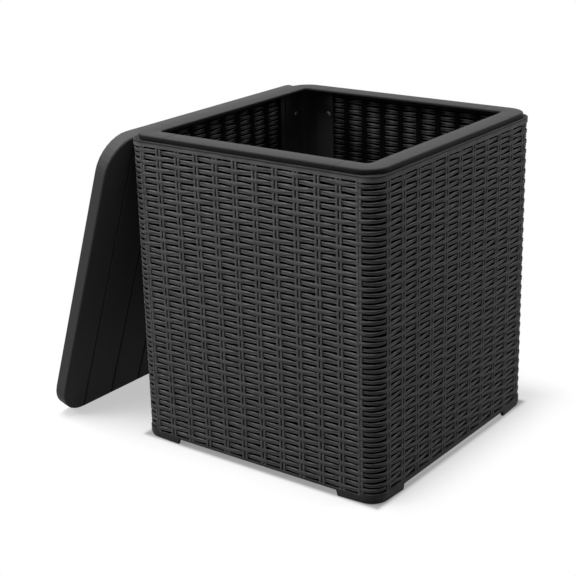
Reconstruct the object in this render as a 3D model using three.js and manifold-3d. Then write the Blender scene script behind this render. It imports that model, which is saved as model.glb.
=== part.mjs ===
// Square woven-resin cover box for a gas cylinder, with its lift-off table top leaned
// against the left wall. Millimetres, +Z up, floor at z = 0, front wall toward -Y.
// The origin is the middle of the whole object's footprint.
//
// The four walls are moulded weave: upright stakes and level bands that pass in front of
// and behind them by turns. One band here stands for several of the real strands. The side
// walls wrap the box corners; the front and back walls are flat and sit between them.
import * as THREE from 'three';
import { mergeVertices } from 'three/addons/utils/BufferGeometryUtils.js';
import Module from 'manifold-3d';

const wasm = await Module();
wasm.setup();

// Fits and cutting room
const GAP = 0.3;
const MELD = 0.5;
const CUT_ROOM = 25;
const WELD = 0.0001;
const CORNER_STEPS = 4;
const LID_CORNER_STEPS = 8;
const EDGE_STEPS = 3;

// Box
const BOX_SIDE = 480;
const BOX_HEIGHT = 532;
const BOX_CORNER_RADIUS = 28;
const SHOULDER_DROP = 8.5;
const TOP_BAND = 8;
const BOTTOM_BAND = 5;
const WALL_LIFT = 9.5;
const CORNER_ARM = 77;
const SEAM_INSET = 32;

// Rim
const RIM_INSET = 4;
const RIM_WIDTH = 34;
const RIM_PLATE = 4;
const RIM_EDGE_RADIUS = 2.5;
const RIM_CORNER_RADIUS = 36;
const RIM_OPENING_RADIUS = 9;
const RIM_LEG = 6.3;

// Weave
const STAKE_THICKNESS = 2.4;
const STAKE_WIDTH = 14;
const BAND_THICKNESS = 2.2;
const BAND_BITE = 0.4;
const OPEN_SHARE = 0.3;
const FRONT_COLUMNS = 11;
const FRONT_EDGE_STAKE = 28.25;
const FRONT_BANDS = 6;
const SIDE_COLUMNS = 10;
const SIDE_EDGE_STAKE = 33.75;
const SIDE_BANDS = 7;
const END_STAKE = 6.35;

// Corner posts
const POST_FLANGE = 3;
const POST_THICKENING = 2;
const THICK_ARM_FRONT = 41;
const THICK_ARM_SIDE = 65;

// Screws
const SCREW_LOW = 60;
const SCREW_DROP = 52;
const SCREW_MARGIN = 10.25;
const SHANK_RADIUS = 2;
const HEAD_RADIUS = 6;
const HEAD_RIM = 1.2;
const HEAD_HEIGHT = 2.6;
const HEAD_STEPS = 2;
const SCREW_SIDES = 8;
const BOSS_WIDTH = 11;
const BOSS_HEIGHT = 14;
const BOSS_SETBACK = 0.25;
const SCREW_SKIN = 2.2;

// Table top
const LID_OVERHANG = 35;
const LID_CORNER_RADIUS = 58;
const LID_EDGE_RADIUS = 3.5;
const LID_DEPTH = 22;
const LID_PLATE = 5;
const LID_SKIRT = 3;
const PLANKS = 8;
const EDGE_PLANK_TRIM = 13;
const GROOVE_WIDTH = 5;
const GROOVE_DEPTH = 2.2;
const LOCATING_PLAY = 3.5;
const LOCATING_RING = 3;
const LOCATING_DEPTH = 15;
const BATTENS = 3;
const BATTEN_THICKNESS = 2.5;
const BATTEN_DEPTH = 10;
const LEAN_DEGREES = 18.27;
const LEAN_GAP = 0.52;

// Colours
const WALL_COLOUR = 0x3a3b3d;
const POST_COLOUR = 0x2b2c2e;
const LID_COLOUR = 0x343537;
const SCREW_COLOUR = 0x8d8f92;
const PLASTIC_ROUGHNESS = 0.6;
const STEEL_ROUGHNESS = 0.4;

// Dependent sizes
const BOX_HALF = BOX_SIDE / 2;
const SHOULDER = BOX_HEIGHT - SHOULDER_DROP;
const CORNER_LINE = BOX_HALF - CORNER_ARM;
const WALL_SEAM = BOX_HALF - SEAM_INSET;
const WALL_DEPTH = STAKE_THICKNESS + 2 * (BAND_THICKNESS - BAND_BITE);
const WALL_MIDDLE = BOX_HALF - WALL_DEPTH / 2;
const BEND_START = BOX_HALF - BOX_CORNER_RADIUS;
const BEND_RADIUS = WALL_MIDDLE - BEND_START;
const BEND_LENGTH = BEND_RADIUS * Math.PI / 2;
const BAND_SWING = (WALL_DEPTH - BAND_THICKNESS) / 2;
const WEAVE_TOP = SHOULDER - TOP_BAND;
const WEAVE_BOTTOM = WALL_LIFT + BOTTOM_BAND;
const RIM_HALF = BOX_HALF - RIM_INSET;
const RIM_REACH = RIM_INSET + RIM_WIDTH;
const RIM_UNDERSIDE = BOX_HEIGHT - RIM_PLATE;
const POST_INSET = WALL_DEPTH + GAP;
const FLANGE_FACE = POST_INSET + POST_FLANGE;
const THICK_FACE = FLANGE_FACE + POST_THICKENING;
const FRONT_PITCH = 2 * (BOX_HALF - FRONT_EDGE_STAKE) / FRONT_COLUMNS;
const SIDE_PITCH = 2 * (BOX_HALF - SIDE_EDGE_STAKE) / SIDE_COLUMNS;
const FRONT_SCREW = CORNER_LINE + SCREW_MARGIN;
const SIDE_SCREW = BEND_START - HEAD_RADIUS;
const SCREW_HIGH = BOX_HEIGHT - SCREW_DROP;
const LID_TOP = BOX_HEIGHT + GAP + LID_PLATE;
const LID_HALF = BOX_HALF + LID_OVERHANG;
const LID_SIDE = 2 * LID_HALF;
const PLANK_PITCH = (LID_SIDE + 2 * EDGE_PLANK_TRIM) / PLANKS;
const LEAN = THREE.MathUtils.degToRad(LEAN_DEGREES);
const EDGE_LOSS = LID_EDGE_RADIUS * (Math.sin(LEAN) + Math.cos(LEAN) - 1);
const EDGE_CONTACT = LID_SIDE * Math.sin(LEAN) - EDGE_LOSS;
const FACE_CONTACT = (SHOULDER + EDGE_LOSS) * Math.tan(LEAN);
const LEAN_FOOT = -(BOX_HALF + LEAN_GAP + Math.min(EDGE_CONTACT, FACE_CONTACT));
const REACH_LEFT = LEAN_FOOT - LID_DEPTH * Math.cos(LEAN);
const CENTRE_SHIFT = -(REACH_LEFT + BOX_HALF) / 2;
const ALL_HEIGHTS = [-CUT_ROOM, BOX_HEIGHT + CUT_ROOM];

// Quarter turns from the +X side, and whether the wall is flat or wraps its corners
const WALLS = [
  { name: 'right', turns: 0, flat: false },
  { name: 'back', turns: 1, flat: true },
  { name: 'left', turns: 2, flat: false },
  { name: 'front', turns: 3, flat: true },
];

// Three.js geometry to boolean solid and back

function toSolid(geometry) {
  const bare = new THREE.BufferGeometry();
  bare.setAttribute('position', geometry.getAttribute('position'));
  if (geometry.index) {
    bare.setIndex(geometry.index);
  }
  const welded = mergeVertices(bare, WELD);
  const vertProperties = new Float32Array(welded.getAttribute('position').array);
  const triVerts = new Uint32Array(welded.index.array);
  return new wasm.Manifold(new wasm.Mesh({ numProp: 3, vertProperties, triVerts }));
}

function toGeometry(solid) {
  const mesh = solid.getMesh();
  const geometry = new THREE.BufferGeometry();
  geometry.setAttribute('position', new THREE.BufferAttribute(mesh.vertProperties, 3));
  geometry.setIndex(new THREE.BufferAttribute(mesh.triVerts, 1));
  return geometry;
}

function turned(geometry, quarterTurns) {
  return geometry.clone().rotateZ(quarterTurns * Math.PI / 2);
}

function addAll(solids) {
  return solids.reduce((sum, solid) => sum.add(solid));
}

// Plain bodies

function block(xs, ys, zs) {
  const geometry = new THREE.BoxGeometry(xs[1] - xs[0], ys[1] - ys[0], zs[1] - zs[0]);
  geometry.translate((xs[0] + xs[1]) / 2, (ys[0] + ys[1]) / 2, (zs[0] + zs[1]) / 2);
  return toSolid(geometry);
}

function prism(points, low, high) {
  const shape = new THREE.Shape(points);
  const geometry = new THREE.ExtrudeGeometry(shape, { depth: high - low, bevelEnabled: false });
  geometry.translate(0, 0, low);
  return toSolid(geometry);
}

function roundedSquare(half, radius, steps = CORNER_STEPS) {
  const centre = half - radius;
  const points = [];
  for (let corner = 0; corner < 4; corner += 1) {
    const start = corner * Math.PI / 2;
    const middle = new THREE.Vector2(centre, centre).rotateAround(new THREE.Vector2(), start);
    for (let step = 0; step <= steps; step += 1) {
      const angle = start + step * Math.PI / 2 / steps;
      const arm = new THREE.Vector2(Math.cos(angle), Math.sin(angle)).multiplyScalar(radius);
      points.push(middle.clone().add(arm));
    }
  }
  return points;
}

// Square slab with its upper edge rounded over
function easedSlab(half, radius, steps, edge, low, high) {
  const shape = new THREE.Shape(roundedSquare(half, radius, steps));
  const geometry = new THREE.ExtrudeGeometry(shape, {
    depth: high - low,
    bevelThickness: edge,
    bevelSize: edge,
    bevelOffset: -edge,
    bevelSegments: EDGE_STEPS,
  });
  geometry.translate(0, 0, low - edge);
  const reach = half + CUT_ROOM;
  const kept = block([-reach, reach], [-reach, reach], [low, high + CUT_ROOM]);
  return toSolid(geometry).intersect(kept);
}

function squareTube(half, radius, thickness, low, high, steps = CORNER_STEPS) {
  const outer = roundedSquare(half, radius, steps);
  const inner = roundedSquare(half - thickness, radius - thickness, steps);
  return prism(outer, low, high).subtract(prism(inner, low - CUT_ROOM, high + CUT_ROOM));
}

// Square tube that follows the box outline between two insets from its outer face
function boxRing(outerInset, innerInset, low, high) {
  const half = BOX_HALF - outerInset;
  const radius = BOX_CORNER_RADIUS - outerInset;
  return squareTube(half, radius, innerInset - outerInset, low, high);
}

// Everything of a solid with x and y beyond the given lines in one corner of the box
function cornerBlock(signX, signY, lineX, lineY) {
  const far = BOX_HALF + CUT_ROOM;
  const xs = [signX * lineX, signX * far].sort((a, b) => a - b);
  const ys = [signY * lineY, signY * far].sort((a, b) => a - b);
  return block(xs, ys, ALL_HEIGHTS);
}

// The wall on the +X side, seen from above: s runs along the wall from its middle and on
// round the box corner, t runs outward from the middle of the wall's depth.
function wallPoint(s, t) {
  const along = Math.abs(s);
  const side = Math.sign(s);
  if (along <= BEND_START) {
    return new THREE.Vector2(WALL_MIDDLE + t, s);
  }
  const turn = Math.min((along - BEND_START) / BEND_RADIUS, Math.PI / 2);
  const rest = Math.max(along - BEND_START - BEND_LENGTH, 0);
  const radius = BEND_RADIUS + t;
  const x = BEND_START + radius * Math.cos(turn) - rest;
  const y = BEND_START + radius * Math.sin(turn);
  return new THREE.Vector2(x, side * y);
}

function bendStops() {
  const stops = [];
  for (let step = 0; step <= CORNER_STEPS; step += 1) {
    const along = BEND_START + BEND_LENGTH * step / CORNER_STEPS;
    stops.push(-along, along);
  }
  return stops;
}

// Upright ribbon of even thickness that follows the wall through (s, t) knots
function ribbon(knots, thickness, low, high) {
  const first = knots[0].s;
  const last = knots[knots.length - 1].s;
  const extra = bendStops().filter((s) => s > first && s < last);
  const swayAt = (s) => {
    const after = knots.findIndex((knot) => knot.s >= s);
    const b = knots[after];
    const a = knots[Math.max(after - 1, 0)];
    return b.s === a.s ? b.t : THREE.MathUtils.mapLinear(s, a.s, b.s, a.t, b.t);
  };
  const all = [...knots.map((knot) => knot.s), ...extra].sort((a, b) => a - b);
  const stops = all.filter((s, i) => i === 0 || s - all[i - 1] > WELD);
  const outer = stops.map((s) => wallPoint(s, swayAt(s) + thickness / 2));
  const inner = stops.map((s) => wallPoint(s, swayAt(s) - thickness / 2));
  return prism([...outer, ...inner.reverse()], low, high);
}

// Stakes and the bands that pass in front of and behind them by turns
function weave(stakes, bandCount) {
  const room = WEAVE_TOP - WEAVE_BOTTOM;
  const slotHeight = room * OPEN_SHARE / (bandCount + 1);
  const bandHeight = room * (1 - OPEN_SHARE) / bandCount;
  const bodies = stakes.map((stake) => {
    const knots = [{ s: stake.from, t: 0 }, { s: stake.to, t: 0 }];
    return ribbon(knots, STAKE_THICKNESS, WEAVE_BOTTOM - MELD, WEAVE_TOP + MELD);
  });
  for (let band = 0; band < bandCount; band += 1) {
    const low = WEAVE_BOTTOM + slotHeight + band * (bandHeight + slotHeight);
    const knots = stakes.map((stake, i) => ({
      s: stake.crossing,
      t: (i + band) % 2 ? BAND_SWING : -BAND_SWING,
    }));
    bodies.push(ribbon(knots, BAND_THICKNESS, low, low + bandHeight));
  }
  return bodies;
}

function evenStakes(columns, pitch) {
  const stakes = [];
  for (let i = 0; i <= columns; i += 1) {
    const middle = pitch * (i - columns / 2);
    const half = STAKE_WIDTH / 2;
    stakes.push({ from: middle - half, crossing: middle, to: middle + half });
  }
  return stakes;
}

function frontStakes() {
  const end = WALL_SEAM - GAP / 2;
  return evenStakes(FRONT_COLUMNS, FRONT_PITCH).map((stake) => ({
    from: Math.max(stake.from, -end),
    crossing: THREE.MathUtils.clamp(stake.crossing, -end, end),
    to: Math.min(stake.to, end),
  }));
}

function sideStakes() {
  const end = BEND_START + BEND_LENGTH + BEND_START - WALL_SEAM - GAP / 2;
  const first = { from: -end, crossing: -end, to: END_STAKE - end };
  const last = { from: end - END_STAKE, crossing: end, to: end };
  return [first, ...evenStakes(SIDE_COLUMNS, SIDE_PITCH), last];
}

// Rim

function rimTop() {
  const steps = CORNER_STEPS;
  const underside = RIM_UNDERSIDE;
  return easedSlab(RIM_HALF, RIM_CORNER_RADIUS, steps, RIM_EDGE_RADIUS, underside, BOX_HEIGHT);
}

function rimOpening() {
  const half = BOX_HALF - RIM_REACH;
  return prism(roundedSquare(half, RIM_OPENING_RADIUS), 0, BOX_HEIGHT + CUT_ROOM);
}

// Full rim: flat top and an outer leg down to the given height
function rim(legLow) {
  const leg = squareTube(RIM_HALF, RIM_CORNER_RADIUS, RIM_LEG, legLow, RIM_UNDERSIDE + MELD);
  return rimTop().add(leg).subtract(rimOpening());
}

// Walls, built on the +X side

function wallBands() {
  const upper = boxRing(0, WALL_DEPTH, WEAVE_TOP, SHOULDER);
  const lower = boxRing(0, WALL_DEPTH, WALL_LIFT, WEAVE_BOTTOM);
  const feet = boxRing(0, WALL_DEPTH, 0, WEAVE_BOTTOM);
  const corners = [-1, 1].map((sign) => cornerBlock(1, sign, CORNER_LINE, CORNER_LINE));
  return addAll([upper, lower, feet.intersect(addAll(corners))]);
}

// Screw hole from inside, through a post and part of the way into the +X wall
function drilling(y, z) {
  const radius = SHANK_RADIUS + GAP;
  const geometry = new THREE.CylinderGeometry(radius, radius, RIM_WIDTH, SCREW_SIDES);
  geometry.rotateZ(Math.PI / 2);
  geometry.translate(BOX_HALF - SCREW_SKIN - RIM_WIDTH / 2, y, z);
  return geometry;
}

function screwSpots(y) {
  return [-y, y].flatMap((spot) => [SCREW_LOW, SCREW_HIGH].map((z) => ({ y: spot, z })));
}

function wall(region, stakes, bandCount, screwY) {
  const stretch = CORNER_LINE - GAP / 2;
  const rimSpan = block([0, BOX_HALF + CUT_ROOM], [-stretch, stretch], ALL_HEIGHTS);
  const bosses = screwSpots(screwY).map(({ y, z }) => block(
    [BOX_HALF - WALL_DEPTH + BOSS_SETBACK, WALL_MIDDLE],
    [y - BOSS_WIDTH / 2, y + BOSS_WIDTH / 2],
    [z - BOSS_HEIGHT / 2, z + BOSS_HEIGHT / 2],
  ));
  const body = addAll([
    wallBands().intersect(region),
    rim(WEAVE_TOP).intersect(rimSpan),
    ...weave(stakes, bandCount),
    ...bosses,
  ]);
  const holes = screwSpots(screwY).map(({ y, z }) => toSolid(drilling(y, z)));
  return toGeometry(body.subtract(addAll(holes)));
}

function frontWall() {
  const end = WALL_SEAM - GAP / 2;
  const region = block([0, BOX_HALF + CUT_ROOM], [-end, end], ALL_HEIGHTS);
  return wall(region, frontStakes(), FRONT_BANDS, FRONT_SCREW);
}

function sideWall() {
  const reach = BOX_HALF + CUT_ROOM;
  const region = block([WALL_SEAM + GAP / 2, reach], [-reach, reach], ALL_HEIGHTS);
  return wall(region, sideStakes(), SIDE_BANDS, SIDE_SCREW);
}

// Corner post: an angle behind both walls that carries the rim corner
function cornerPost(signX, signY) {
  const line = CORNER_LINE + GAP / 2;
  const thickLines = [BOX_HALF - THICK_ARM_FRONT, BOX_HALF - THICK_ARM_SIDE];
  const flange = boxRing(POST_INSET, FLANGE_FACE, WALL_LIFT, RIM_UNDERSIDE + MELD);
  const thick = boxRing(FLANGE_FACE - MELD, THICK_FACE, WALL_LIFT, RIM_UNDERSIDE + MELD);
  const rimColumn = prism(roundedSquare(RIM_HALF, RIM_CORNER_RADIUS), SHOULDER, BOX_HEIGHT);
  const belowRim = block([-BOX_HALF, BOX_HALF], [-BOX_HALF, BOX_HALF], [0, SHOULDER]);
  const angle = addAll([
    flange.intersect(cornerBlock(signX, signY, line, line)),
    thick.intersect(cornerBlock(signX, signY, ...thickLines)),
  ]).intersect(rimColumn.add(belowRim));
  const body = angle.add(rim(SHOULDER + GAP).intersect(cornerBlock(signX, signY, line, line)));
  const holes = WALLS.flatMap(({ turns, flat }) => (
    screwSpots(flat ? FRONT_SCREW : SIDE_SCREW).map(({ y, z }) => (
      toSolid(turned(drilling(y, z), turns))
    ))
  ));
  return toGeometry(body.subtract(addAll(holes)));
}

// Pan head screw through a post into the wall on the +X side
function screw(y, z, seatInset) {
  const tip = seatInset - SCREW_SKIN - GAP;
  const crown = Array.from({ length: HEAD_STEPS + 1 }, (_, step) => {
    const angle = step * Math.PI / 2 / HEAD_STEPS;
    const height = HEAD_RIM + (HEAD_HEIGHT - HEAD_RIM) * Math.sin(angle);
    return new THREE.Vector2(HEAD_RADIUS * Math.cos(angle), -height);
  });
  crown[HEAD_STEPS].x = 0;
  const profile = [
    ...crown.reverse(),
    new THREE.Vector2(HEAD_RADIUS, 0),
    new THREE.Vector2(SHANK_RADIUS, 0),
    new THREE.Vector2(SHANK_RADIUS, tip),
    new THREE.Vector2(0, tip),
  ];
  const geometry = new THREE.LatheGeometry(profile, SCREW_SIDES);
  geometry.rotateZ(-Math.PI / 2);
  geometry.translate(BOX_HALF - seatInset, y, z);
  return toGeometry(toSolid(geometry));
}

// Table top, built where it lies when the box is closed

function plankGrooves() {
  const reach = LID_HALF + CUT_ROOM;
  const half = GROOVE_WIDTH / 2;
  const section = new THREE.Shape([
    new THREE.Vector2(0, -GROOVE_DEPTH),
    new THREE.Vector2(half, 0),
    new THREE.Vector2(half, CUT_ROOM),
    new THREE.Vector2(-half, CUT_ROOM),
    new THREE.Vector2(-half, 0),
  ]);
  return Array.from({ length: PLANKS - 1 }, (_, i) => {
    const y = PLANK_PITCH * (i + 1 - PLANKS / 2);
    const geometry = new THREE.ExtrudeGeometry(section, { depth: 2 * reach, bevelEnabled: false });
    geometry.rotateX(Math.PI / 2);
    geometry.rotateZ(Math.PI / 2);
    geometry.translate(-reach, y, LID_TOP);
    return toSolid(geometry);
  });
}

function lid() {
  const low = LID_TOP - LID_DEPTH;
  const underside = LID_TOP - LID_PLATE;
  const radius = LID_CORNER_RADIUS;
  const shell = easedSlab(LID_HALF, radius, LID_CORNER_STEPS, LID_EDGE_RADIUS, low, LID_TOP);
  const hollow = prism(
    roundedSquare(LID_HALF - LID_SKIRT, radius - LID_SKIRT, LID_CORNER_STEPS),
    low - CUT_ROOM,
    underside,
  );
  const ringHalf = BOX_HALF - RIM_REACH - LOCATING_PLAY;
  const ringRadius = RIM_OPENING_RADIUS - LOCATING_PLAY;
  const ringLow = underside - LOCATING_DEPTH;
  const ring = prism(roundedSquare(ringHalf, ringRadius), ringLow, underside + MELD)
    .subtract(prism(
      roundedSquare(ringHalf - LOCATING_RING, ringRadius - LOCATING_RING),
      ringLow - CUT_ROOM,
      LID_TOP + CUT_ROOM,
    ));
  const inside = ringHalf - LOCATING_RING + MELD;
  const battens = Array.from({ length: BATTENS }, (_, i) => {
    const middle = 2 * ringHalf * ((i + 1) / (BATTENS + 1) - 1 / 2);
    const across = [middle - BATTEN_THICKNESS / 2, middle + BATTEN_THICKNESS / 2];
    return block(across, [-inside, inside], [underside - BATTEN_DEPTH, underside + MELD]);
  });
  const body = addAll([shell.subtract(hollow), ring, ...battens]);
  return toGeometry(body.subtract(addAll(plankGrooves())));
}

// Stands the table top on its lower edge with its planks toward the box
function leanLid(geometry) {
  const drop = LID_HALF * Math.cos(LEAN) - EDGE_LOSS;
  const back = LEAN_FOOT + LID_HALF * Math.sin(LEAN);
  geometry.translate(0, 0, -LID_TOP);
  geometry.rotateY(LEAN - Math.PI * 3 / 2);
  geometry.translate(back, 0, drop);
  return geometry;
}

function place(name, geometry, color, metalness, roughness) {
  const bare = geometry.toNonIndexed();
  bare.translate(CENTRE_SHIFT, 0, 0);
  bare.computeVertexNormals();
  const material = new THREE.MeshStandardMaterial({ color, metalness, roughness });
  const mesh = new THREE.Mesh(bare, material);
  mesh.name = name;
  return mesh;
}

function build() {
  const group = new THREE.Group();
  group.name = 'cylinder_cover_table';
  const flatWall = frontWall();
  const wrapWall = sideWall();
  for (const { name, turns, flat } of WALLS) {
    const geometry = turned(flat ? flatWall : wrapWall, turns);
    group.add(place(`${name}_panel`, geometry, WALL_COLOUR, 0, PLASTIC_ROUGHNESS));
    const spotY = flat ? FRONT_SCREW : SIDE_SCREW;
    const seat = (flat ? FLANGE_FACE : THICK_FACE) + GAP;
    screwSpots(spotY).forEach(({ y, z }, i) => {
      const part = turned(screw(y, z, seat), turns);
      group.add(place(`screw_${name}_${i + 1}`, part, SCREW_COLOUR, 1, STEEL_ROUGHNESS));
    });
  }
  for (const [front, signY] of [['front', -1], ['back', 1]]) {
    for (const [side, signX] of [['left', -1], ['right', 1]]) {
      const geometry = cornerPost(signX, signY);
      const name = `corner_post_${front}_${side}`;
      group.add(place(name, geometry, POST_COLOUR, 0, PLASTIC_ROUGHNESS));
    }
  }
  group.add(place('lid', leanLid(lid()), LID_COLOUR, 0, PLASTIC_ROUGHNESS));
  return group;
}

export default build();
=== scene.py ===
import math

import bmesh
import bpy
import numpy as np
from mathutils import Matrix, Vector

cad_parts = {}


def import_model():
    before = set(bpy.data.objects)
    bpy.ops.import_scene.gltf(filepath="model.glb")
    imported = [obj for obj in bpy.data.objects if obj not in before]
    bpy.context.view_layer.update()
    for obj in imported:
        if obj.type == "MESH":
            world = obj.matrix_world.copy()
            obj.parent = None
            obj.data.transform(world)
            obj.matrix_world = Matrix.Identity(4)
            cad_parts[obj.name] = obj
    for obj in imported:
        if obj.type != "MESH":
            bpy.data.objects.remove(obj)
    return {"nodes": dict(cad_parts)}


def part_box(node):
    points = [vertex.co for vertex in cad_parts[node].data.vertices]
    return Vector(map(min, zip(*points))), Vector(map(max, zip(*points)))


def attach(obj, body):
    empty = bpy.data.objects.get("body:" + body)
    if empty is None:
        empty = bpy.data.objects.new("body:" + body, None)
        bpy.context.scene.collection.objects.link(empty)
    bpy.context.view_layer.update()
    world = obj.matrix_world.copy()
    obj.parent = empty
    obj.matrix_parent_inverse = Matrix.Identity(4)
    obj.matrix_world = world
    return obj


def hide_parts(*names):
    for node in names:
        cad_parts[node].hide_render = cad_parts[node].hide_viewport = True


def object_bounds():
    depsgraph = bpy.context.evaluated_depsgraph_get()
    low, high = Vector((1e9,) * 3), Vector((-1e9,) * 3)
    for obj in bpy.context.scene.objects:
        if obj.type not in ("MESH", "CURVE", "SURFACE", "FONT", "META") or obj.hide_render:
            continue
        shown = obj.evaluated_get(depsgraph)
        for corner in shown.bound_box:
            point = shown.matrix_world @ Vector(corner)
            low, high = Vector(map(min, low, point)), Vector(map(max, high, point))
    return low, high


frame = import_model()
cad_low, cad_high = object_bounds()

# The box, in millimetres counted from the middle of its footprint
MM = 0.001
GAP = 0.3
BOX_HALF = 240
BOX_CORNER_RADIUS = 28
WALL_DEPTH = 6
WALL_MIDDLE = BOX_HALF - WALL_DEPTH / 2
WALL_SEAM = 208
WALL_LIFT = 9.5
SHOULDER = 523.5
CORNER_REACH = 163
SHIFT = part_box("right_panel")[1].x / MM - BOX_HALF

# A wall's bend round a box corner, along the middle of the wall's depth
QUARTER_TURN = math.pi / 2
BEND_START = BOX_HALF - BOX_CORNER_RADIUS
BEND_RADIUS = WALL_MIDDLE - BEND_START
BEND_LENGTH = BEND_RADIUS * QUARTER_TURN
BEND_POINTS = 13
WALL_TO_WALL = 2 * BEND_START + BEND_LENGTH

# The feet: where they start, the length of their slope, and their edge's easing at the bend
FOOT_START = CORNER_REACH + 2
FOOT_SLOPE = 3
FOOT_EASE = 3.6
FOOT_EASE_REACH = 42

# The plain bands over and under the weave, counted out from the middle of the wall's depth
BAND_BACK = -2.8
BAND_FRONT = 2.7
BAND_EASE = 0.5
BAND_EASE_HEIGHT = 0.6
TOP_EASE = 0.8
BOTTOM_EASE = 1.0
# Where the top band's painted shade under the rim starts and ends, below the shoulder
SHADE_START = 4
SHADE_END = 2.5

# The rim's section, counted inward from the wall's face, and its corners
RIM_TOP = 532
RIM_INSET = 4
RIM_WIDTH = 34
RIM_SKIRT = 6.3
RIM_THICKNESS = 4
RIM_UNDERSIDE = RIM_TOP - RIM_THICKNESS
RIM_INTO_WALL = 4
RIM_EDGE_RADIUS = 2.7
RIM_EDGE_POINTS = 6
OPENING_EDGE_RADIUS = 1.4
OPENING_EDGE_POINTS = 4
RIM_HALF = BOX_HALF - RIM_INSET
RIM_CORNER_RADIUS = 36
OPENING_HALF = RIM_HALF - RIM_WIDTH
OPENING_CORNER_RADIUS = 9
SEAM_EASE = 0.8

# The corner mouldings: a sheet behind the walls, and a narrower one behind that at the bend
POST_DEPTH = 3
POST_STEP_DEPTH = 2
POST_FRONT = -WALL_DEPTH / 2 - GAP
POST_BACK = POST_FRONT - POST_DEPTH
POST_STEP_BACK = POST_BACK - POST_STEP_DEPTH
POST_STEP_START = 175
POST_STEP_END = 199

# The leaned lid: its planks, and how far their face lies from the origin, square to it
PLANK_PITCH = 72
PLANK_GROOVE_HALF = 0.7
PLANK_GROOVE_DEPTH = 2.6
LID_LEAN = math.radians(18.27)
LID_FACE = 299.4

# The woven walls. The columns keep their pitch as far as even, and the stretch past that,
# which only the side walls reach, is one column more. Step is 1 where the weave starts one
# crossing on.
FRONT = {
    "columns": 11, "pitch": 38.5, "strands": 51, "slot_top": 513, "slot_pitch": 9.76,
    "end": WALL_SEAM - GAP / 2, "even": WALL_SEAM, "stretch": 100, "step": 0,
}
SIDE_COLUMNS = 10
SIDE_PITCH = 41.25
SIDE_EVEN = SIDE_PITCH * SIDE_COLUMNS / 2
SIDE_END = WALL_TO_WALL - WALL_SEAM - GAP / 2
SIDE = {
    "columns": SIDE_COLUMNS, "pitch": SIDE_PITCH, "strands": 57, "slot_top": 512, "slot_pitch": 8.64,
    "end": SIDE_END, "even": SIDE_EVEN, "stretch": SIDE_END - SIDE_EVEN, "step": 1,
}

# The walls in order, each a quarter turn on from the one before
WALLS = {"right": SIDE, "back": FRONT, "left": SIDE, "front": FRONT}

# The weave's bars: their inner and outer face, how far they swing and swell at a crossing, the
# depth of their groove, how square they are from 1 for round down to 0, and their sides
STRAND = {
    "inner": -1.7, "outer": 1.9, "swing": 0.75, "swell": 0.4, "groove": 0.9, "crown": 0.5, "sides": 12,
}
RIB = {
    "inner": -1.0, "outer": 2.4, "swing": 0.4, "swell": 0.0, "groove": 0.0, "crown": 0.6, "sides": 8,
}
CORE = {
    "inner": -2.95, "outer": 1.0, "swing": 0.0, "swell": 0.0, "groove": 0.0, "crown": 0.2, "sides": 8,
}
SLOT_HEIGHT = 2.9
STRAND_SPACING = 4.8
STRAND_WANDER = 2.2
RIB_WIDTH = 4.6
RIB_APART = 3.4
RIB_PAST_SLOTS = 3
RIB_WANDER = 0.3
END_RIB_WIDTH = 4.8
CORE_WIDTH = 11.6
CORE_SPACING = 500
# A black sheet of painted shade across the slots: its back and front
SLOT_SHADE_SHEET_BACK = -0.35
SLOT_SHADE_SHEET_FRONT = 0.05

# Painted light and shade across a strand, from its lower edge at -1 to its upper edge at 1:
# painted highlights near the upper edge and painted shade in the groove and at the lower edge,
# flatter over a stake, and painted glints and shade inside the box
BETWEEN_STAKES = [(-1, 0.0), (-0.9, 0.4), (-0.65, 1.05), (0, 0.55), (0.65, 1.35), (0.9, 2.3), (1, 0.6)]
OVER_A_STAKE = [(-1, 0.4), (-0.9, 0.78), (0.9, 0.86), (1, 0.5)]
INSIDE_THE_BOX = [(-1, 0.0), (-0.65, 0.9), (0, 0.2), (0.65, 1.4), (1, 1.8)]

# Shares of these by how far the strand has come over a stake, by height inside, where painted shade
# darkens the low part and the top, and by the bend, where painted shade darkens the corner
OVER_SHARE = [(0.3, 0), (1, 1)]
INSIDE_SHADE_BY_HEIGHT = [(420, 0.4), (470, 1), (500, 1), (515, 0.5)]
SHADE_AT_THE_BEND = [
    (BEND_START, 1), (BEND_START + BEND_LENGTH * 0.4, 0.75), (BEND_START + BEND_LENGTH * 1.2, 1),
]

# Tones of the other parts of a wall, and of the rim by depth below its top; all but the ribs' are painted
# light and shade
RIB_TONE = 0.95
# Painted shade: black cores behind the stakes
CORE_SHADE = 0.08
# Painted shade: the sheet across the slots is black
SLOT_SHADE_SHEET_TONE = 0.0
# Painted shade: the bottom band darker than the weave above it
BOTTOM_BAND_SHADE = 0.42
# Painted shade in the rim's seams
SEAM_SHADE = 0.3
# Painted light on the rim's top, painted shade down its side
RIM_LIGHT_BY_DEPTH = [(0, 1), (1.5, 0.6), (3, 0.35), (7, 0.3), (9, 0.05)]


class Signal:
    """A node's output that can be used in plain sums and products."""

    def __init__(self, graph, socket):
        self.graph = graph
        self.socket = socket

    def math(self, operation, *others, first=None):
        """A Math node on this signal and the others. A first value goes before the signal."""
        values = ([first] if first is not None else []) + [self, *others]
        made = self.graph.add("ShaderNodeMath", {"operation": operation}, dict(enumerate(values)))
        return made["Value"]

    def __add__(self, other):
        return self.math("ADD", other)

    def __sub__(self, other):
        return self.math("SUBTRACT", other)

    def __mul__(self, other):
        return self.math("MULTIPLY", other)

    def __truediv__(self, other):
        return self.math("DIVIDE", other)

    def __rsub__(self, other):
        return self.math("SUBTRACT", first=other)

    def __abs__(self):
        return self.math("ABSOLUTE")

    def at_least(self, low):
        return self.math("MAXIMUM", low)

    def at_most(self, high):
        return self.math("MINIMUM", high)

    __radd__ = __add__
    __rmul__ = __mul__


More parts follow.
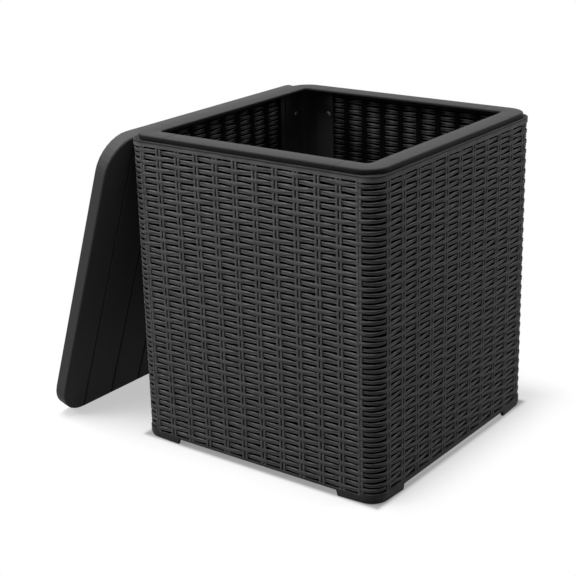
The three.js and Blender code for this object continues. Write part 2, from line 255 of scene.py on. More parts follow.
class Made:
    """A node whose outputs are read by name or number."""

    def __init__(self, graph, node):
        self.graph = graph
        self.node = node

    def __getitem__(self, key):
        return Signal(self.graph, self.node.outputs[key])


class Graph:
    """A node tree, filled one node at a time."""

    def __init__(self, tree):
        self.tree = tree

    def add(self, kind, settings=None, sockets=None):
        """A new node with its settings, and then the values or links of its sockets."""
        node = self.tree.nodes.new(kind)
        for name, value in (settings or {}).items():
            setattr(node, name, value)
        for key, value in (sockets or {}).items():
            if isinstance(value, Signal):
                self.tree.links.new(value.socket, node.inputs[key])
            else:
                node.inputs[key].default_value = value
        return Made(self, node)

    def join(self, signal, socket):
        self.tree.links.new(signal.socket, socket)


def separate(graph, vector):
    return graph.add("ShaderNodeSeparateXYZ", {}, {"Vector": vector})


def combine(graph, **parts):
    return graph.add("ShaderNodeCombineXYZ", {}, parts)["Vector"]


# Materials

RESIN_GLOSS = 0.07
RESIN_GRAIN = {"scale": 900.0, "detail": 4.0, "bump": 0.25, "height": 0.0003}
WALL_STREAKS = {"X": 0.045, "Y": 0.3, "Z": 0.75}

# The numbers of a Mix node's colour sockets
MIX_COLOUR_A = 6
MIX_COLOUR_B = 7
MIX_COLOUR_RESULT = 2


def grey(tone):
    return (tone, tone, tone)


def base_material(name, colour, roughness, gloss=RESIN_GLOSS):
    """Material with its Principled shader, and the graph to add to it."""
    material = bpy.data.materials.new(name)
    material.use_nodes = True
    graph = Graph(material.node_tree)
    shader = material.node_tree.nodes["Principled BSDF"]
    shader.inputs["Base Color"].default_value = (*colour, 1)
    shader.inputs["Roughness"].default_value = roughness
    shader.inputs["Specular IOR Level"].default_value = gloss
    return material, graph, shader


def mix_colour(graph, factor, a, b):
    """Colour a where the factor is 0 and b where it is 1. Each is a signal or three numbers."""
    a, b = (value if isinstance(value, Signal) else (*value, 1) for value in (a, b))
    sockets = {"Factor": factor, MIX_COLOUR_A: a, MIX_COLOUR_B: b}
    return graph.add("ShaderNodeMix", {"data_type": "RGBA"}, sockets)[MIX_COLOUR_RESULT]


def mix_shader(graph, share, a, b):
    """Shader a where the share is 0 and b where it is 1."""
    return graph.add("ShaderNodeMixShader", {}, {0: share, 1: a, 2: b})["Shader"]


def diffuse(graph, tone):
    return graph.add("ShaderNodeBsdfDiffuse", {}, {"Color": (*grey(tone), 1)})["BSDF"]


def add_bump(graph, shader, height, strength, distance):
    sockets = {"Strength": strength, "Distance": distance, "Height": height}
    bump = graph.add("ShaderNodeBump", {}, sockets)
    graph.join(bump["Normal"], shader.inputs["Normal"])


def grain(graph, shader):
    """Fine moulded grain as a bump. Returns the grain's own value."""
    where = graph.add("ShaderNodeTexCoord")["Object"]
    sockets = {"Vector": where, "Scale": RESIN_GRAIN["scale"], "Detail": RESIN_GRAIN["detail"]}
    noise = graph.add("ShaderNodeTexNoise", {}, sockets)["Fac"]
    add_bump(graph, shader, noise, RESIN_GRAIN["bump"], RESIN_GRAIN["height"])
    return noise


def painted_light_and_shade(graph):
    """The painted light and shade that each point of a piece is given, as a tone."""
    return graph.add("ShaderNodeAttribute", {"attribute_name": "tone"})["Fac"]


def wall_plastic():
    """Anthracite resin in the given tones of painted light and shade, streaked along the strands, with
    painted shade darker towards the floor.
    """
    pale = grey(0.46)
    streak_weight, patch_weight = 0.56, 0.3
    # Painted shade: the tint is this share of itself at the floor, and grows by this much a millimetre up
    painted_light_at_floor, painted_light_per_millimetre = 0.8, 0.0004
    # Painted shade: tones below this fade to a black matte shader, black in the slots
    black_shade_below = 0.2
    material, graph, shader = base_material("anthracite_resin", pale, roughness=0.5)
    place = graph.add("ShaderNodeAttribute", {"attribute_name": "place"})["Vector"]
    tone = painted_light_and_shade(graph)
    parts = separate(graph, place)
    lengthwise = combine(graph, **{axis: parts[axis] * rate for axis, rate in WALL_STREAKS.items()})
    sockets = {"Vector": lengthwise, "Scale": 1.0, "Detail": 3.0}
    streaks = graph.add("ShaderNodeTexNoise", {}, sockets)["Fac"]
    patches = graph.add("ShaderNodeTexNoise", {}, {"Vector": place, "Scale": 0.05})["Fac"]
    unevenness = streaks * streak_weight + patches * patch_weight
    # Painted shade darker towards the floor
    tint = tone * unevenness * (painted_light_at_floor + parts["Z"] * painted_light_per_millimetre)
    graph.join(mix_colour(graph, tint, grey(0.0), pale), shader.inputs["Base Color"])
    add_bump(graph, shader, streaks, strength=0.6, distance=0.0008)
    lit = Signal(graph, shader.outputs["BSDF"])
    # Painted shade: black matte where the tone is low
    shown = mix_shader(graph, (tone / black_shade_below).at_most(1.0), diffuse(graph, 0.0), lit)
    graph.join(shown, graph.tree.nodes["Material Output"].inputs["Surface"])
    return material


def plank_groove_shade(graph):
    """Painted shade: dark in the grooves between the lid's planks, 1 elsewhere."""
    darkest, side_rate, depth_rate = 0.05, 0.9, 5.0
    where = graph.add("ShaderNodeTexCoord")["Object"]
    beside = separate(graph, where)["Y"].math("PINGPONG", PLANK_PITCH / 2 * MM) / MM
    inward = (-math.cos(LID_LEAN), 0, math.sin(LID_LEAN))
    reached = graph.add("ShaderNodeVectorMath", {"operation": "DOT_PRODUCT"}, {0: where, 1: inward})
    deep = reached["Value"] / MM - LID_FACE
    past_side = (beside - PLANK_GROOVE_HALF).at_least(0.0) * side_rate
    past_depth = (deep - PLANK_GROOVE_DEPTH).at_least(0.0) * depth_rate
    return (past_side + past_depth).at_least(darkest).at_most(1.0)


def smooth_plastic(name, colour, roughness, unevenness=0.0, gloss=RESIN_GLOSS, shade=None):
    """Resin with a fine grain, in specks up to its unevenness lighter or darker, and darkened by the
    painted light and shade given, if any.
    """
    material, graph, shader = base_material(name, colour, roughness, gloss)
    speckle = grain(graph, shader)
    dark = [value * (1 - unevenness) for value in colour]
    light = [value * (1 + unevenness) for value in colour]
    shown = mix_colour(graph, speckle, dark, light)
    # Painted light and shade, as a share from black
    if shade:
        shown = mix_colour(graph, shade(graph), grey(0.0), shown)
    graph.join(shown, shader.inputs["Base Color"])
    return material


def screw_steel():
    material, _, shader = base_material("dull_zinc", grey(0.12), roughness=0.45)
    shader.inputs["Metallic"].default_value = 1.0
    return material


RESIN = wall_plastic()
RIM_RESIN = smooth_plastic(
    "rim_resin", grey(0.056), roughness=0.5, unevenness=0.35, gloss=0.05, shade=painted_light_and_shade
)
POST_RESIN = smooth_plastic("post_resin", grey(0.06), roughness=0.6)
LID_RESIN = smooth_plastic(
    "lid_resin", grey(0.112), roughness=0.55, unevenness=0.25, shade=plank_groove_shade
)
SCREW_STEEL = screw_steel()


# Meshes

SHARP_ANGLE = math.radians(35)


def turned(points, quarter_turns):
    """Points of the +X wall brought round to another wall."""
    angle = quarter_turns * QUARTER_TURN
    cosine, sine = round(math.cos(angle)), round(math.sin(angle))
    x, y, z = points.T
    return np.stack([cosine * x - sine * y, sine * x + cosine * y, z], 1)


def wall_points(s, t, z):
    """Points from places along (s), out of (t) and up (z) the +X wall, bent round the corners."""
    along = np.abs(s)
    turn = np.clip((along - BEND_START) / BEND_RADIUS, 0, QUARTER_TURN)
    rest = np.maximum(along - BEND_START - BEND_LENGTH, 0)
    radius = BEND_RADIUS + t
    x = BEND_START + radius * np.cos(turn) - rest
    y = np.minimum(along, BEND_START) + radius * np.sin(turn)
    return np.stack([x, np.sign(s) * y, z], 1)


def to_row(points):
    """Metres in the row frame from millimetres in the box's own."""
    return (points + np.array([SHIFT, 0, 0])) * MM


def read_off(stops, places):
    """Values at these places on the line through (place, value) stops."""
    known_places, known_values = zip(*stops)
    return np.interp(places, known_places, known_values)


def add_layer(mesh, name, kind, field, values):
    layer = mesh.attributes.new(name, kind, "POINT")
    layer.data.foreach_set(field, np.asarray(values, np.float32).ravel())


def make_piece(name, parts):
    """Mesh object in the row frame from (points, faces, places, tones, material) parts."""
    points, faces, places, tones, part_materials = zip(*parts)
    materials = list(dict.fromkeys(part_materials))
    all_faces, slots, offset = [], [], 0
    for part_points, part_faces, material in zip(points, faces, part_materials):
        all_faces.extend(tuple(i + offset for i in face) for face in part_faces)
        slots.extend([materials.index(material)] * len(part_faces))
        offset += len(part_points)
    mesh = bpy.data.meshes.new(name)
    mesh.from_pydata(to_row(np.concatenate(points)).tolist(), [], all_faces)
    add_layer(mesh, "place", "FLOAT_VECTOR", "vector", np.concatenate(places))
    add_layer(mesh, "tone", "FLOAT", "value", np.concatenate(tones))
    for material in materials:
        mesh.materials.append(material)
    mesh.polygons.foreach_set("material_index", slots)
    work = bmesh.new()
    work.from_mesh(mesh)
    bmesh.ops.recalc_face_normals(work, faces=work.faces)
    work.to_mesh(mesh)
    work.free()
    mesh.shade_smooth()
    mesh.set_sharp_from_angle(angle=SHARP_ANGLE)
    piece = bpy.data.objects.new(name, mesh)
    bpy.context.scene.collection.objects.link(piece)
    return piece


def loft(rings):
    """Points and faces of a closed bar through rings of equal length, capped at both ends."""
    count = len(rings[0])
    points = np.concatenate(rings)
    faces = []
    for i in range(len(rings) - 1):
        for j in range(count):
            a, b = i * count + j, i * count + (j + 1) % count
            faces.append((a, b, b + count, a + count))
    faces.append(tuple(range(count)))
    faces.append(tuple(reversed(range(len(points) - count, len(points)))))
    return points, faces


def stations(start, end):
    """Places along a wall, close together where it bends."""
    bends = np.linspace(BEND_START, BEND_START + BEND_LENGTH, BEND_POINTS)
    inner = [v for b in bends for v in (-b, b) if start < v < end]
    return np.array(sorted([start, end, *inner]))


def wall_bar(profile, stops, tone):
    """Bar along the +X wall. profile(s) gives its (t, z) outline at a place.

    tone is one value, or one for each point of the outline.
    """
    rings, places = [], []
    for s in stops:
        t, z = np.array(profile(s), float).T
        along = np.full(len(t), s)
        rings.append(wall_points(along, t, z))
        places.append(np.stack([along, t, z], 1))
    points, faces = loft(rings)
    tones = np.tile(tone, len(stops)) if np.ndim(tone) else np.full(len(points), tone)
    return points, faces, np.concatenate(places), tones, RESIN


# Weave

TREE_SIZES = [
    "Start", "End", "Spacing", "Pitch", "Even", "Stretch", "Phase", "Swing", "Swell",
    "Width", "Inner", "Outer", "Groove", "Crown", "Sides", "Wander", "Seed",
]
BAR_LENGTHS = ["inner", "outer", "swing", "swell", "groove"]


def position(graph):
    """The X, Y and Z of each point."""
    return separate(graph, graph.add("GeometryNodeInputPosition")["Position"])


def stored(graph, name):
    """The number that each point keeps under a name."""
    sockets = {"Name": name}
    return graph.add("GeometryNodeInputNamedAttribute", {"data_type": "FLOAT"}, sockets)["Attribute"]


def store(graph, geometry, name, value, kind="FLOAT"):
    """The geometry with a value kept at each point under a name."""
    settings = {"data_type": kind, "domain": "POINT"}
    sockets = {"Geometry": geometry, "Name": name, "Value": value}
    return graph.add("GeometryNodeStoreNamedAttribute", settings, sockets)["Geometry"]


def tree_inputs(tree):
    """Gives the tree its one output and its named inputs."""
    face = tree.interface
    face.new_socket("Geometry", in_out="OUTPUT", socket_type="NodeSocketGeometry")
    face.new_socket("Anchors", in_out="INPUT", socket_type="NodeSocketGeometry")
    for name in TREE_SIZES:
        kind = "NodeSocketInt" if name == "Sides" else "NodeSocketFloat"
        face.new_socket(name, in_out="INPUT", socket_type=kind)
    face.new_socket("Material", in_out="INPUT", socket_type="NodeSocketMaterial")


def bar_lines(graph, given, size):
    """A line from each anchor, with points to move, as curves along X."""
    start, end = (combine(graph, X=size[name]) for name in ("Start", "End"))
    line = graph.add("GeometryNodeCurvePrimitiveLine", {}, {"Start": start, "End": end})
    sockets = {"Curve": line["Curve"], "Length": size["Spacing"]}
    fine = graph.add("GeometryNodeResampleCurve", {"mode": "LENGTH"}, sockets)
    sockets = {"Points": given["Anchors"], "Instance": fine["Curve"]}
    placed = graph.add("GeometryNodeInstanceOnPoints", {}, sockets)
    return graph.add("GeometryNodeRealizeInstances", {}, {"Geometry": placed["Instances"]})["Geometry"]


def crossing_wave(graph, x, row, size):
    """1 where a bar lies in front of a crossing one and -1 where it lies behind, held a while."""
    steepness = 1.3
    along = abs(x)
    even = along.at_most(size["Even"]) / size["Pitch"]
    beyond = (along - size["Even"]).at_least(0.0) / size["Stretch"]
    phase = x.math("SIGN") * (even + beyond) + size["Phase"] + row
    return ((phase * math.pi).math("COSINE") * steepness).at_most(1.0).at_least(-1.0)


def bar_section(graph, size):
    """A bar's outline: a circle squared up by its crown, with a groove in its outer face."""
    sockets = {"Resolution": size["Sides"], "Radius": 1.0}
    ring = graph.add("GeometryNodeCurvePrimitiveCircle", {"mode": "RADIUS"}, sockets)
    spot = position(graph)
    out, up = (
        spot[axis].math("SIGN") * abs(spot[axis]).math("POWER", size["Crown"]) for axis in ("X", "Y")
    )
    deep = (out + 1.0) * 0.5
    central = (1.0 - abs(up) * 2.0).at_least(0.0)
    cut = central * out * size["Groove"]
    face = size["Inner"] * (1.0 - deep) + size["Outer"] * deep
    section = combine(graph, X=cut - face, Y=up * size["Width"] * 0.5)
    sockets = {"Geometry": ring["Curve"], "Position": section}
    return graph.add("GeometryNodeSetPosition", {}, sockets)["Geometry"]


def weave_tree():
    """Node tree of level strands or upright ribs that swing in and out where they cross."""
    wander_rate, row_apart = 30.0, 3.7
    edge_loss = 0.15
    tree = bpy.data.node_groups.new("woven_band", "GeometryNodeTree")
    tree_inputs(tree)
    graph = Graph(tree)
    given = graph.add("NodeGroupInput")
    size = {name: given[name] for name in TREE_SIZES}

    curves = bar_lines(graph, given, size)
    x = position(graph)["X"]
    row = stored(graph, "row")
    curves = store(graph, curves, "wave", crossing_wave(graph, x, row, size))
    where = combine(graph, X=x * wander_rate, Y=row * row_apart, Z=size["Seed"])
    noise = graph.add("ShaderNodeTexNoise", {}, {"Vector": where, "Scale": 1.0, "Detail": 1.0})
    drift = combine(graph, Z=(noise["Fac"] - 0.5) * size["Wander"])
    wandered = graph.add("GeometryNodeSetPosition", {}, {"Geometry": curves, "Offset": drift})
    curves = store(graph, wandered["Geometry"], "middle", position(graph)["Z"])
    upright = graph.add("GeometryNodeSetCurveNormal", {"mode": "Z_UP"}, {"Curve": curves})
    body = graph.add("GeometryNodeCurveToMesh", {}, {
        "Curve": upright["Curve"], "Profile Curve": bar_section(graph, size), "Fill Caps": True,
    })

    wave = stored(graph, "wave")
    place = position(graph)
    share = (place["Z"] - stored(graph, "middle")) / (size["Width"] * 0.5)
    depth = (place["Y"] - size["Inner"]) / (size["Outer"] - size["Inner"])
    marks = combine(graph, X=share, Y=depth, Z=wave)
    marked = store(graph, body["Mesh"], "spot", marks, "FLOAT_VECTOR")
    bulge = 1.0 - (share * share).at_most(1.0) * edge_loss
    filled = wave.at_least(0.0) * size["Groove"] * (1.0 - abs(share) * 2.0).at_least(0.0) * depth
    outward = wave * size["Swing"] * bulge + filled
    moved = combine(graph, Y=outward, Z=wave * size["Swell"] * share)
    shaped = graph.add("GeometryNodeSetPosition", {}, {"Geometry": marked, "Offset": moved})
    solid = graph.add("GeometryNodeRealizeInstances", {}, {"Geometry": shaped["Geometry"]})
    sockets = {"Geometry": solid["Geometry"], "Material": given["Material"]}
    painted = graph.add("GeometryNodeSetMaterial", {}, sockets)
    graph.add("NodeGroupOutput", {}, {"Geometry": painted["Geometry"]})
    return tree


WEAVE = weave_tree()


def woven(bar, anchors, rows, sizes):
    """Points in millimetres, faces and spots of woven bars, in the flat space of a wall.

    A spot says how far across the bar a point lies, how deep, and how far over a crossing.
    """
    mesh = bpy.data.meshes.new("anchors")
    mesh.from_pydata((np.array(anchors) * MM).tolist(), [], [])
    add_layer(mesh, "row", "FLOAT", "value", rows)
    holder = bpy.data.objects.new("weaving", mesh)
    bpy.context.scene.collection.objects.link(holder)
    modifier = holder.modifiers.new("weave", "NODES")
    modifier.node_group = WEAVE
    sockets = {
        item.name: item.identifier
        for item in WEAVE.interface.items_tree
        if item.item_type == "SOCKET" and item.in_out == "INPUT"
    }
    modifier[sockets["Sides"]] = bar["sides"]
    modifier[sockets["Crown"]] = bar["crown"]
    for name in BAR_LENGTHS:
        modifier[sockets[name.title()]] = bar[name] * MM
    for name, value in sizes.items():
        modifier[sockets[name]] = float(value)
    modifier[sockets["Material"]] = RESIN
    done = bpy.data.meshes.new_from_object(
        holder.evaluated_get(bpy.context.evaluated_depsgraph_get())
    )
    holder.modifiers.remove(modifier)
    bpy.data.objects.remove(holder)
    count = len(done.vertices)
    flat, spots = np.zeros(count * 3), np.zeros(count * 3)
    done.vertices.foreach_get("co", flat)
    done.attributes["spot"].data.foreach_get("vector", spots)
    faces = [tuple(face.vertices) for face in done.polygons]
    bpy.data.meshes.remove(done)
    return flat.reshape(count, 3) / MM, faces, spots.reshape(count, 3)


def strand_light_and_shade(spots, z):
    """Painted highlight near the upper edge, painted shade in the groove and at the lower edge in front;
    painted shade in the slots, and painted glints and shade inside.
    """
    front_from, back_until = 0.6, 0.25
    inside_full, inside_drop = 1.15, 0.7
    share, depth, wave = spots.T
    over = read_off(OVER_SHARE, wave)
    front = read_off(BETWEEN_STAKES, share) * (1 - over) + read_off(OVER_A_STAKE, share) * over
    inside = read_off(INSIDE_THE_BOX, share) * (inside_full - inside_drop * np.abs(wave))
    inside = inside * read_off(INSIDE_SHADE_BY_HEIGHT, z)
    return np.where(depth > front_from, front, np.where(depth < back_until, inside, 0.0))


def first_strand(kind):
    """Height of the middle of a wall's highest strand."""
    return kind["slot_top"] - kind["slot_pitch"] / 2


def lowest_slot(kind):
    """Height of the middle of the slot below a wall's last strand."""
    return kind["slot_top"] - kind["slot_pitch"] * kind["strands"]


def strands(kind, seed):
    """The level strands of one wall."""
    pitch = kind["slot_pitch"]
    rows = np.arange(kind["strands"])
    anchors = [(0, 0, first_strand(kind) - pitch * row) for row in rows]
    points, faces, spots = woven(STRAND, anchors, rows, {
        "Start": -kind["end"] * MM, "End": kind["end"] * MM, "Spacing": STRAND_SPACING * MM,
        "Pitch": kind["pitch"] * MM, "Even": kind["even"] * MM, "Stretch": kind["stretch"] * MM,
        "Phase": kind["columns"] / 2 + kind["step"], "Width": (pitch - SLOT_HEIGHT) * MM,
        "Wander": STRAND_WANDER * MM, "Seed": seed,
    })
    s, t, z = points.T
    # Painted light and shade across each strand, with painted shade partway round the bend
    tones = strand_light_and_shade(spots, z) * read_off(SHADE_AT_THE_BEND, np.abs(s))
    return wall_points(s, t, z), faces, points, tones, RESIN


def ribs(kind, seed):
    """The upright ribs, two to a stake with a core in painted shade behind, and one at each end of the
    wall.
    """
    columns, step, pitch = kind["columns"], kind["step"], kind["slot_pitch"]
    middles = [kind["pitch"] * (number - columns / 2) for number in range(columns + 1)]
    inner = [(s, row + step) for row, s in enumerate(middles) if abs(s) < kind["end"] - RIB_WIDTH]
    pairs = [(s + side * RIB_APART, row) for s, row in inner for side in (-1, 1)]
    edge = kind["end"] - END_RIB_WIDTH / 2
    ends = [(-edge, 0), (edge, columns + 2 * step)]
    parts = []
    for bar, bars, width, tone in (
        (RIB, pairs, RIB_WIDTH, RIB_TONE), (RIB, ends, END_RIB_WIDTH, RIB_TONE),
        (CORE, inner, CORE_WIDTH, CORE_SHADE), (CORE, ends, END_RIB_WIDTH, CORE_SHADE),
    ):
        points, faces, _ = woven(bar, [(0, 0, s) for s, _ in bars], [row for _, row in bars], {
            "Start": (lowest_slot(kind) - RIB_PAST_SLOTS) * MM,
            "End": (kind["slot_top"] + RIB_PAST_SLOTS) * MM,
            "Spacing": (pitch / 2 if bar is RIB else CORE_SPACING) * MM,
            "Pitch": pitch * MM, "Even": 1.0, "Stretch": 1.0, "Phase": 1 - first_strand(kind) / pitch,
            "Width": width * MM, "Wander": RIB_WANDER * MM, "Seed": seed,
        })
        z, t, s = points.T
        places = np.stack([s, t, z], 1)
        parts.append((wall_points(s, t, z), faces, places, np.full(len(s), tone), RESIN))
    return parts


def slot_shade_sheet(kind):
    """Thin black sheet of painted shade that closes the slots halfway through the wall."""
    high = kind["slot_top"] + SLOT_HEIGHT
    low = lowest_slot(kind) - SLOT_HEIGHT
    outline = [(SLOT_SHADE_SHEET_BACK, low), (SLOT_SHADE_SHEET_FRONT, low), (SLOT_SHADE_SHEET_FRONT, high), (SLOT_SHADE_SHEET_BACK, high)]
    return wall_bar(lambda s: outline, stations(-kind["end"], kind["end"]), SLOT_SHADE_SHEET_TONE)


# Plain bands, feet and rim

def top_band(kind):
    """Band over the weave, in painted light and shade: lighter at its lower front edge, darkest in the
    rim's shade at its top and on its back.
    """
    low = kind["slot_top"] + SLOT_HEIGHT / 2
    high = SHOULDER
    points_and_tones = [
        (BAND_BACK, low, 0.3),
        (BAND_FRONT - BAND_EASE, low, 0.3),
        (BAND_FRONT, low + BAND_EASE_HEIGHT, 1.1),
        (BAND_FRONT, high - SHADE_START, 0.9),
        (BAND_FRONT, high - SHADE_END, 0.25),
        (BAND_FRONT, high - TOP_EASE, 0.35),
        (BAND_FRONT - TOP_EASE, high, 0.2),
        (BAND_BACK, high, 0.1),
    ]
    outline = [(t, z) for t, z, _ in points_and_tones]
    tones = [tone for _, _, tone in points_and_tones]
    return wall_bar(lambda s: outline, stations(-kind["end"], kind["end"]), tones)


def bottom_band(kind):
    """Band under the weave, in painted shade, which comes down to the floor at the feet."""
    high = lowest_slot(kind) - SLOT_HEIGHT / 2
    bend_middle = BEND_START + BEND_LENGTH / 2

    def outline(s):
        low = WALL_LIFT * np.clip((FOOT_START - abs(s)) / FOOT_SLOPE, 0, 1)
        ease = FOOT_EASE * np.clip(1 - ((abs(s) - bend_middle) / FOOT_EASE_REACH) ** 2, 0, 1)
        inward, upward = BOTTOM_EASE + ease, BOTTOM_EASE + 1.5 * ease
        middle_inward, middle_upward = 0.4 + 0.35 * ease, 0.3 + 0.4 * ease
        return [
            (BAND_BACK, low), (BAND_FRONT - inward, low),
            (BAND_FRONT - middle_inward, low + middle_upward), (BAND_FRONT, low + upward),
            (BAND_FRONT, high - BAND_EASE_HEIGHT), (BAND_FRONT - BAND_EASE, high), (BAND_BACK, high),
        ]

    slopes = [side * (FOOT_START - k) for k in range(FOOT_SLOPE + 1) for side in (-1, 1)]
    stops = np.array(sorted([*stations(-kind["end"], kind["end"]), *slopes]))
    return wall_bar(outline, stops, BOTTOM_BAND_SHADE)


def rim_light_and_shade(inset, z):
    """Painted light on the rim's top, painted shade down its outer side, and darker painted shade within
    and below.
    """
    side = read_off(RIM_LIGHT_BY_DEPTH, RIM_TOP - z)
    return np.where(inset > RIM_INSET + RIM_EDGE_RADIUS, side * np.minimum(side * 2, 1), side)


def rim_outline(low):
    """(inset from the wall's face, height) round the rim's section."""
    inner = RIM_INSET + RIM_WIDTH
    skirt = RIM_INSET + RIM_SKIRT
    outer_edge = [
        (RIM_INSET + RIM_EDGE_RADIUS * (1 - math.cos(a)), RIM_TOP - RIM_EDGE_RADIUS * (1 - math.sin(a)))
        for a in np.linspace(0, QUARTER_TURN, RIM_EDGE_POINTS)
    ]
    opening_edge = [
        (inner - OPENING_EDGE_RADIUS * (1 - math.sin(a)), RIM_TOP - OPENING_EDGE_RADIUS * (1 - math.cos(a)))
        for a in np.linspace(0, QUARTER_TURN, OPENING_EDGE_POINTS)
    ]
    return [
        (RIM_INSET, low), *outer_edge, *opening_edge,
        (inner, RIM_UNDERSIDE), (skirt, RIM_UNDERSIDE), (skirt, low),
    ]


def rim_stretch():
    """The rim over the middle of the +X wall, eased and in painted shade at its two seams."""
    inset, z = np.array(rim_outline(SHOULDER - RIM_INTO_WALL)).T
    seam = CORNER_REACH - GAP / 2
    clear = seam - SEAM_EASE
    rings, tones = [], []
    for y in (-seam, -clear, clear, seam):
        at_seam = abs(y) == seam
        eased = np.minimum(z, RIM_TOP - SEAM_EASE) if at_seam else z
        rings.append(np.stack([BOX_HALF - inset, np.full(len(z), y), eased], 1))
        # Painted shade darkens the rings at the seams
        tones.append(rim_light_and_shade(inset, z) * (SEAM_SHADE if at_seam else 1.0))
    points, faces = loft(rings)
    return points, faces, points, np.concatenate(tones), RIM_RESIN


def rim_corner(sign_x, sign_y):
    """The rim round one corner of the box, from seam to seam."""
    inset, z = np.array(rim_outline(SHOULDER + GAP)).T
    share = ((inset - RIM_INSET) / RIM_WIDTH)[:, None]
    seam = CORNER_REACH + GAP / 2
    outer_centre = RIM_HALF - RIM_CORNER_RADIUS
    inner_centre = OPENING_HALF - OPENING_CORNER_RADIUS
    spans = [((RIM_HALF, seam), (OPENING_HALF, seam))]
    for angle in np.linspace(0, QUARTER_TURN, BEND_POINTS):
        arm = np.array([math.cos(angle), math.sin(angle)])
        spans.append((outer_centre + RIM_CORNER_RADIUS * arm, inner_centre + OPENING_CORNER_RADIUS * arm))
    spans.append(((seam, RIM_HALF), (seam, OPENING_HALF)))
    rings = []
    for outer, inner in spans:
        flat = np.array(outer) * (1 - share) + np.array(inner) * share
        rings.append(np.column_stack([flat * [sign_x, sign_y], z]))
    points, faces = loft(rings)
    # Painted light on the top and painted shade below, as along the stretch
    return points, faces, points, np.tile(rim_light_and_shade(inset, z), len(rings)), RIM_RESIN


def post_angle(sign_x, sign_y):
    """The angle behind the walls, from one wall round the corner to the other."""
    seam = CORNER_REACH + GAP / 2
    parts = []
    for start, end, outer, inner, high in (
        (seam, WALL_TO_WALL - seam, POST_FRONT, POST_BACK, SHOULDER),
        (POST_STEP_START, WALL_TO_WALL - POST_STEP_END, POST_BACK, POST_STEP_BACK, RIM_UNDERSIDE),
    ):
        outline = [(outer, WALL_LIFT), (outer, high), (inner, high), (inner, WALL_LIFT)]
        points, faces, places, tones, _ = wall_bar(lambda s: outline, stations(start, end), 1.0)
        parts.append((points * [sign_x, sign_y, 1], faces, places, tones, POST_RESIN))
    return parts


# Pieces

def build_walls():
    for turns, (name, kind) in enumerate(WALLS.items()):
        strand_seed, rib_seed = turns * 13.0 + 2.0, turns * 7.0 + 1.0
        parts = [
            strands(kind, strand_seed), *ribs(kind, rib_seed),
            slot_shade_sheet(kind), top_band(kind), bottom_band(kind), rim_stretch(),
        ]
        brought = [(turned(points, turns), *rest) for points, *rest in parts]
        piece = make_piece(f"{name}_weave", brought)
        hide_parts(f"{name}_panel")
        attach(piece, "box")


def build_posts():
    for side_y, sign_y in (("front", -1), ("back", 1)):
        for side_x, sign_x in (("left", -1), ("right", 1)):
            name = f"corner_post_{side_y}_{side_x}"
            parts = [rim_corner(sign_x, sign_y), *post_angle(sign_x, sign_y)]
            piece = make_piece(f"{name}_dressed", parts)
            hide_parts(name)
            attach(piece, "box")


def dress_frame_nodes():
    """The lid and the screws keep their solids and get their finishes."""
    for name, node in frame["nodes"].items():
        if name == "lid" or name.startswith("screw"):
            node.data.materials.clear()
            node.data.materials.append(LID_RESIN if name == "lid" else SCREW_STEEL)


# Surroundings, in metres

FLOOR_HALF = 6.0
FLOOR_TONE = 0.85
FLOOR_GLOW = 0.36
# Painted shadow: the floor's tone inside the box
FLOOR_SHADOW_IN_BOX = 0.35
FLOOR_TONE_UNSEEN = 0.1
FLOOR_FADE = (-0.04, 0.09)
# The edge over which the painted shadow inside the box fades
BOX_FADE = (-0.002, 0.012)
SKY_LIGHT = 0.1
WHITE = 1.0

# Each lamp's place, what it points at, its size and its energy in watts
LAMPS = {
    "overhead": ((-0.4, -0.5, 3.6), (0, 0, 0.2), 2.4, 103),
    "front_left": ((-1.7, -1.8, 2.0), (0, 0, 0.4), 1.2, 24),
    "back_right": ((1.9, 1.3, 2.0), (0, 0, 0.4), 1.2, 9.5),
}

# The photograph's viewpoint: place from the box in millimetres, turns in degrees, and lens
CAMERA_PLACE = (1260.29, -1802.11, 1025.64)
CAMERA_YAW = 37.39
CAMERA_PITCH = -19.58
CAMERA_ROLL = -1.61
CAMERA_LENS = 85.41
CAMERA_SENSOR = 36
CAMERA_SHIFT = (0.0113, 0.0007)
CAMERA_FAR = 100


def background_rays(graph):
    """1 for the rays that show the white background: camera, glossy and transmission rays."""
    rays = graph.add("ShaderNodeLightPath")
    seen = rays["Is Camera Ray"].at_least(rays["Is Glossy Ray"])
    return seen.at_least(rays["Is Transmission Ray"])


def past_footprint(graph, centre, half, fade):
    """0 over a rectangle on the floor and 1 outside it, across the two distances of the fade."""
    where = graph.add("ShaderNodeTexCoord")["Object"]
    steps = [("SUBTRACT", centre), ("ABSOLUTE", None), ("SUBTRACT", half), ("MAXIMUM", (0, 0, 0))]
    for operation, other in steps:
        sockets = {0: where} if other is None else {0: where, 1: other}
        where = graph.add("ShaderNodeVectorMath", {"operation": operation}, sockets)["Vector"]
    away = graph.add("ShaderNodeVectorMath", {"operation": "LENGTH"}, {0: where})["Value"]
    return graph.add("ShaderNodeMapRange", {"interpolation_type": "SMOOTHSTEP"}, {
        "Value": away, "From Min": fade[0], "From Max": fade[1], "To Min": 0.0, "To Max": 1.0,
    })["Result"]


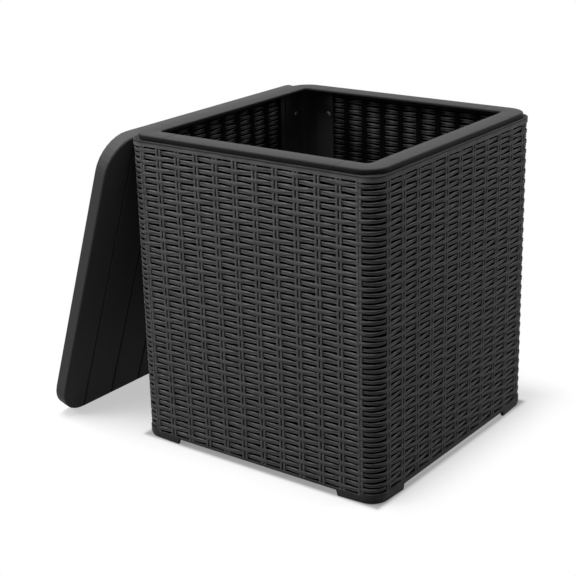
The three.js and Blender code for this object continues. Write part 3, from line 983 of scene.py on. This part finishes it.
def floor_material():
    material = bpy.data.materials.new("pale_floor")
    material.use_nodes = True
    graph = Graph(material.node_tree)
    graph.tree.nodes.clear()
    half = WALL_MIDDLE * MM
    past_table = past_footprint(graph, (0, 0, 0), cad_high, FLOOR_FADE)
    past_box = past_footprint(graph, (SHIFT * MM, 0, 0), (half, half, 1), BOX_FADE)
    glow = graph.add("ShaderNodeEmission", {}, {"Strength": FLOOR_GLOW})["Emission"]
    white = graph.add("ShaderNodeEmission", {}, {"Strength": WHITE})["Emission"]
    lit = graph.add("ShaderNodeAddShader", {}, {0: diffuse(graph, FLOOR_TONE), 1: glow})["Shader"]
    # Painted shadow on the floor inside the box's footprint
    near = mix_shader(graph, past_box, diffuse(graph, FLOOR_SHADOW_IN_BOX), lit)
    seen = mix_shader(graph, past_table, near, white)
    both = mix_shader(graph, background_rays(graph), diffuse(graph, FLOOR_TONE_UNSEEN), seen)
    graph.add("ShaderNodeOutputMaterial", {}, {"Surface": both})
    return material


def floor():
    """Pale floor that fades to plain white away from the table and has a painted shadow inside the box."""
    mesh = bpy.data.meshes.new("floor")
    corners = [(x * FLOOR_HALF, y * FLOOR_HALF, 0) for x, y in ((-1, -1), (1, -1), (1, 1), (-1, 1))]
    mesh.from_pydata(corners, [], [(0, 1, 2, 3)])
    mesh.materials.append(floor_material())
    plane = bpy.data.objects.new("floor", mesh)
    bpy.context.scene.collection.objects.link(plane)


def world():
    """Dim even light on the table, and plain white to the camera."""
    sky = bpy.data.worlds.new("studio")
    bpy.context.scene.world = sky
    sky.use_nodes = True
    graph = Graph(sky.node_tree)
    graph.tree.nodes.clear()
    soft = graph.add("ShaderNodeBackground", {}, {"Strength": SKY_LIGHT})["Background"]
    plain = {"Color": (*grey(1), 1), "Strength": WHITE}
    white = graph.add("ShaderNodeBackground", {}, plain)["Background"]
    both = mix_shader(graph, background_rays(graph), soft, white)
    graph.add("ShaderNodeOutputWorld", {}, {"Surface": both})


def lamp(name, place, aim, size, energy):
    light = bpy.data.lights.new(name, "AREA")
    light.shape = "SQUARE"
    light.size = size
    light.energy = energy
    holder = bpy.data.objects.new(name, light)
    holder.location = place
    holder.rotation_euler = (Vector(aim) - Vector(place)).to_track_quat("-Z", "Y").to_euler()
    bpy.context.scene.collection.objects.link(holder)


def camera():
    """Stands where the photograph was taken from."""
    yaw, pitch, roll = (math.radians(angle) for angle in (CAMERA_YAW, CAMERA_PITCH, CAMERA_ROLL))
    level_share = math.cos(pitch)
    ahead = Vector((-math.sin(yaw) * level_share, math.cos(yaw) * level_share, math.sin(pitch)))
    right = Vector((math.cos(yaw), math.sin(yaw), 0))
    up = right.cross(ahead)
    level = right * math.cos(roll) + up * math.sin(roll)
    top = up * math.cos(roll) - right * math.sin(roll)
    data = bpy.data.cameras.new("camera")
    data.sensor_width = CAMERA_SENSOR
    data.lens = CAMERA_LENS
    data.shift_x, data.shift_y = CAMERA_SHIFT
    data.clip_end = CAMERA_FAR
    eye = bpy.data.objects.new("camera", data)
    x, y, z = CAMERA_PLACE
    place = Vector((x + SHIFT, y, z)) * MM
    turn = Matrix((level, top, -ahead)).transposed()
    eye.matrix_world = Matrix.Translation(place) @ turn.to_4x4()
    bpy.context.scene.collection.objects.link(eye)
    bpy.context.scene.camera = eye


build_walls()
build_posts()
dress_frame_nodes()
floor()
world()
for lamp_name, lamp_settings in LAMPS.items():
    lamp(lamp_name, *lamp_settings)
camera()
bpy.context.scene.view_settings.view_transform = "Standard"
